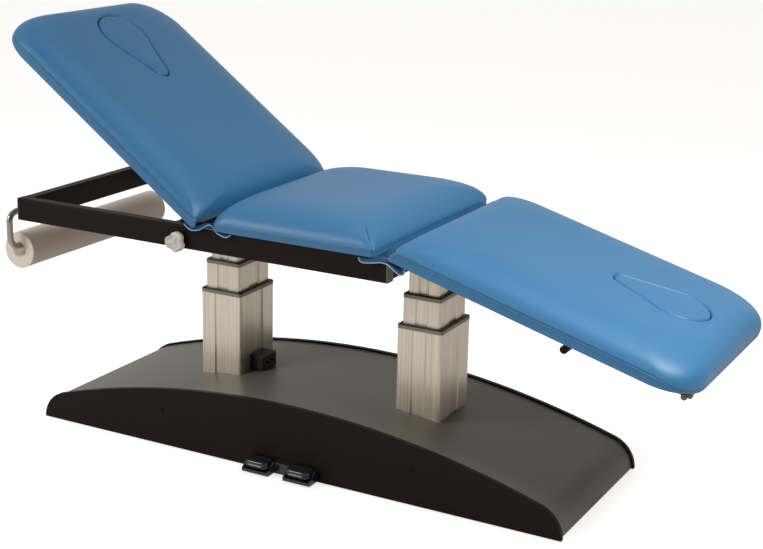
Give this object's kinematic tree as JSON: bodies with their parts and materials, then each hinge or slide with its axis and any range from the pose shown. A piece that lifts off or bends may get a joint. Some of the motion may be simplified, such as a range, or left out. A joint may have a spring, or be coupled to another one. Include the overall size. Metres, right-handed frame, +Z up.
{
  "type": "treatment table",
  "caption": "Three-section padded treatment table on telescopic lifting columns and an arched base, with tilting backrest and leg section.",
  "frame": {"origin": "on the floor below the base's centre, on the floor plate's underside", "axes": "+X towards the leg section, -Y towards the pedal side, +Z up"},
  "size_m": [1.8812, 0.6453, 1.065],
  "materials": {
    "black_steel": "satin black-brown powder coat",
    "cover_grey": "satin warm grey powder coat",
    "column_metal": "brushed, anodised",
    "collar_plastic": "dark grey, fine texture",
    "vinyl": "blue upholstery vinyl over foam, satin",
    "plywood": "raw plywood",
    "bright_steel": "bright zinc",
    "roll_bar_steel": "satin steel bar",
    "pedal_plastic": "gloss black",
    "black_plastic": "matt black",
    "knob_plastic": "light grey, satin",
    "paper": "off-white crepe paper",
    "motor_paint": "matt dark grey",
    "nut_bronze": "machined"
  },
  "bodies": {
    "base": {"floor_plate": "black_steel", "near_side_plate": "black_steel", "far_side_plate": "black_steel", "base_cover": "cover_grey", "cover_ribs": "black_steel", "side_plate_screws": "bright_steel", "left_outer_column": "column_metal", "right_outer_column": "column_metal", "left_outer_collar": "collar_plastic", "right_outer_collar": "collar_plastic", "column_feet": "black_steel", "foot_bolts": "bright_steel", "left_drive_motor": "motor_paint", "right_drive_motor": "motor_paint", "lift_spindles": "bright_steel", "control_box": "black_plastic", "mains_inlet": "black_plastic", "charger_socket": "black_plastic", "pedal_housing": "pedal_plastic"},
    "left_mid": {"left_mid_column": "column_metal", "left_mid_collar": "collar_plastic", "left_mid_tube": "bright_steel"},
    "right_mid": {"right_mid_column": "column_metal", "right_mid_collar": "collar_plastic", "right_mid_tube": "bright_steel"},
    "lift_frame": {"near_beam": "black_steel", "far_beam": "black_steel", "head_beam": "black_steel", "left_cross_member": "black_steel", "right_cross_member": "black_steel", "spring_cross_tube": "black_steel", "head_blocks": "black_steel", "left_inner_column": "column_metal", "right_inner_column": "column_metal", "inner_nuts": "nut_bronze", "hinge_ears": "black_steel", "seat_board": "plywood", "seat_cushion": "vinyl", "back_gap_strip": "vinyl", "leg_gap_strip": "vinyl", "lock_bolt": "bright_steel", "roll_bar": "roll_bar_steel", "beam_end_caps": "black_plastic"},
    "backrest": {"backrest_board": "plywood", "backrest_cushion": "vinyl", "backrest_frame": "black_steel"},
    "backrest_plug": {"backrest_plug": "vinyl"},
    "leg": {"leg_board": "plywood", "leg_cushion": "vinyl", "leg_frame": "black_steel", "foot_handle": "bright_steel"},
    "leg_release_bar": {"leg_release_bar": "black_steel"},
    "leg_plug": {"leg_plug": "vinyl"},
    "leg_spring_tube": {"leg_spring_tube": "motor_paint"},
    "leg_spring_rod": {"leg_spring_rod": "bright_steel"},
    "star_knob": {"star_knob": "knob_plastic"},
    "paper_roll": {"paper_roll": "paper"},
    "up_pedal": {"up_pedal": "pedal_plastic"},
    "down_pedal": {"down_pedal": "pedal_plastic"}
  },
  "joints": [
    {"name": "lift", "type": "slide", "parent": "base", "child": "left_mid", "axis": [0, 0, 1], "range_m": [-0.065, 0.135]},
    {"name": "frame_lift", "type": "slide", "parent": "left_mid", "child": "lift_frame", "axis": [0, 0, 1], "range_m": [-0.065, 0.135]},
    {"name": "right_lift", "type": "slide", "parent": "base", "child": "right_mid", "axis": [0, 0, 1], "range_m": [-0.065, 0.135]},
    {"name": "backrest_tilt", "type": "hinge", "parent": "lift_frame", "child": "backrest", "pos_m": [-0.218, 0, 0.604], "axis": [0, 1, 0], "range_deg": [-35.8, 39.2]},
    {"name": "leg_tilt", "type": "hinge", "parent": "lift_frame", "child": "leg", "pos_m": [0.3113, 0, 0.62], "axis": [0, 1, 0], "range_deg": [-15.6, 14.4]},
    {"name": "leg_spring_swing", "type": "hinge", "parent": "lift_frame", "child": "leg_spring_tube", "pos_m": [0.06, 0.12, 0.522], "axis": [0, 1, 0], "range_deg": [-2.38, 2.21]},
    {"name": "leg_spring_stroke", "type": "slide", "parent": "leg_spring_tube", "child": "leg_spring_rod", "axis": [0.9991, 0, 0.0433], "range_m": [-0.0226, 0.0244]},
    {"name": "leg_release", "type": "hinge", "parent": "leg", "child": "leg_release_bar", "pos_m": [0.70642, 0, 0.4886], "axis": [0, 1, 0], "range_deg": [0, 12], "stiffness_Nm_per_rad": 5, "springref_deg": -17.19},
    {"name": "backrest_plug_lift", "type": "slide", "parent": "backrest", "child": "backrest_plug", "axis": [0.585, 0, 0.8111], "range_m": [0, 0.08]},
    {"name": "leg_plug_lift", "type": "slide", "parent": "leg", "child": "leg_plug", "axis": [0.2689, 0, 0.9632], "range_m": [0, 0.08]},
    {"name": "knob_turn", "type": "hinge", "parent": "lift_frame", "child": "star_knob", "pos_m": [-0.2583, -0.313, 0.5718], "axis": [0, -1, 0], "continuous": true},
    {"name": "roll_turn", "type": "hinge", "parent": "lift_frame", "child": "paper_roll", "pos_m": [-0.8, 0, 0.4575], "axis": [0, 1, 0], "continuous": true},
    {"name": "up_pedal_press", "type": "hinge", "parent": "base", "child": "up_pedal", "pos_m": [0.07, -0.2535, 0.031], "axis": [1, 0, 0], "range_deg": [0, 6], "stiffness_Nm_per_rad": 3, "springref_deg": -5.73},
    {"name": "down_pedal_press", "type": "hinge", "parent": "base", "child": "down_pedal", "pos_m": [-0.048, -0.2535, 0.031], "axis": [1, 0, 0], "range_deg": [0, 6], "stiffness_Nm_per_rad": 3, "springref_deg": -5.73}
  ],
  "couplings": [
    {"joint": "frame_lift", "follows": "lift", "ratio": 1},
    {"joint": "right_lift", "follows": "lift", "ratio": 1},
    {"joint": "leg_spring_swing", "follows": "leg_tilt", "ratio": 0.13981},
    {"joint": "leg_spring_stroke", "follows": "leg_tilt", "m_per_rad": -0.086079}
  ]
}
